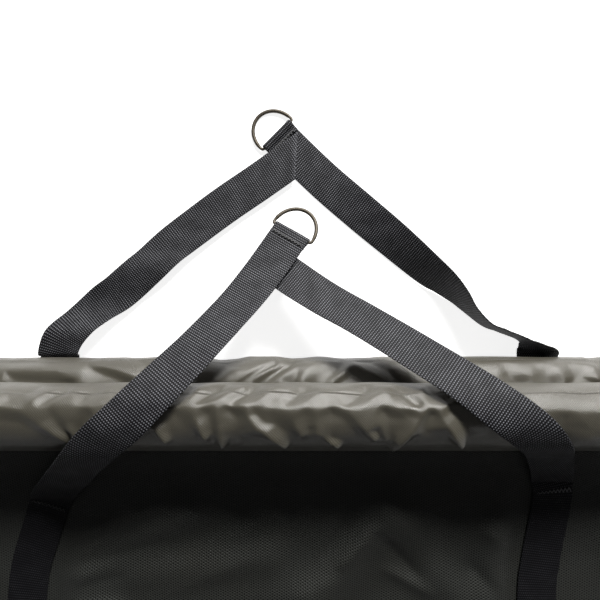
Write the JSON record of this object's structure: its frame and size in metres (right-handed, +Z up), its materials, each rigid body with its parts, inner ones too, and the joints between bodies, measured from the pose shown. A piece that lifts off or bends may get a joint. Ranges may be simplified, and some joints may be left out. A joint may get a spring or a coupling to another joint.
{
  "type": "weigh sling",
  "caption": "Folded fish weigh sling: mesh cradle between padded sleeves, carried by webbing bands and handles with D-rings for a scale hook.",
  "frame": {"origin": "on the ground, under the middle of the folded sling's outline", "axes": "+X along the sleeves to the right, +Y from the fold towards the handles, +Z up"},
  "size_m": [1.16, 0.7544, 0.1143],
  "materials": {
    "sleeve_cloth": "woven nylon with a soft sheen",
    "foam": "closed-cell foam",
    "mesh_cloth": "knitted mesh",
    "tape": "woven tape",
    "webbing": "ribbed webbing",
    "antique_metal": "antique plated wire",
    "thread": "sewing thread"
  },
  "bodies": {
    "rear_half": {"rear_sleeve": "sleeve_cloth", "rear_core": "foam", "rear_left_sleeve_end": "sleeve_cloth", "rear_right_sleeve_end": "sleeve_cloth", "rear_mesh_panel": "mesh_cloth", "rear_left_binding": "tape", "rear_right_binding": "tape", "rear_left_band": "webbing", "rear_right_band": "webbing", "rear_left_bartack": "thread", "rear_right_bartack": "thread", "belly_fold": "mesh_cloth", "left_belly_band": "webbing", "right_belly_band": "webbing"},
    "front_half": {"front_sleeve": "sleeve_cloth", "front_core": "foam", "front_left_sleeve_end": "sleeve_cloth", "front_right_sleeve_end": "sleeve_cloth", "front_mesh_panel": "mesh_cloth", "front_left_binding": "tape", "front_right_binding": "tape", "front_left_band": "webbing", "front_right_band": "webbing", "front_left_bartack": "thread", "front_right_bartack": "thread"},
    "front_handle": {"front_left_leg": "webbing", "front_right_leg": "webbing", "front_loop_stitch": "thread"},
    "rear_handle": {"rear_left_leg": "webbing", "rear_right_leg": "webbing", "rear_loop_stitch": "thread"},
    "front_ring": {"front_d_ring": "antique_metal"},
    "rear_ring": {"rear_d_ring": "antique_metal"}
  },
  "joints": [
    {"name": "front_half_fold", "type": "hinge", "parent": "rear_half", "child": "front_half", "pos_m": [0, -0.37024, 0.00665], "axis": [1, 0, 0], "range_deg": [0, 150], "deforming": ["belly_fold", "left_belly_band", "right_belly_band"]},
    {"name": "front_handle_lift", "type": "hinge", "parent": "front_half", "child": "front_handle", "pos_m": [0.01298, 0.00306, 0.0359], "axis": [0.9994, 0.034, 0], "range_deg": [0, 110]},
    {"name": "rear_handle_lift", "type": "hinge", "parent": "rear_half", "child": "rear_handle", "pos_m": [0, 0.14776, 0.0204], "axis": [1, 0, 0], "range_deg": [0, 90]},
    {"name": "front_ring_swing", "type": "hinge", "parent": "front_handle", "child": "front_ring", "pos_m": [0.00305, 0.248, 0.02462], "axis": [0.8492, -0.5023, 0.1629], "range_deg": [-35, 120]},
    {"name": "rear_ring_swing", "type": "hinge", "parent": "rear_handle", "child": "rear_ring", "pos_m": [-0.01183, 0.35075, 0.00324], "axis": [0.7028, 0.7114, 0.0007], "range_deg": [0, 120]}
  ]
}
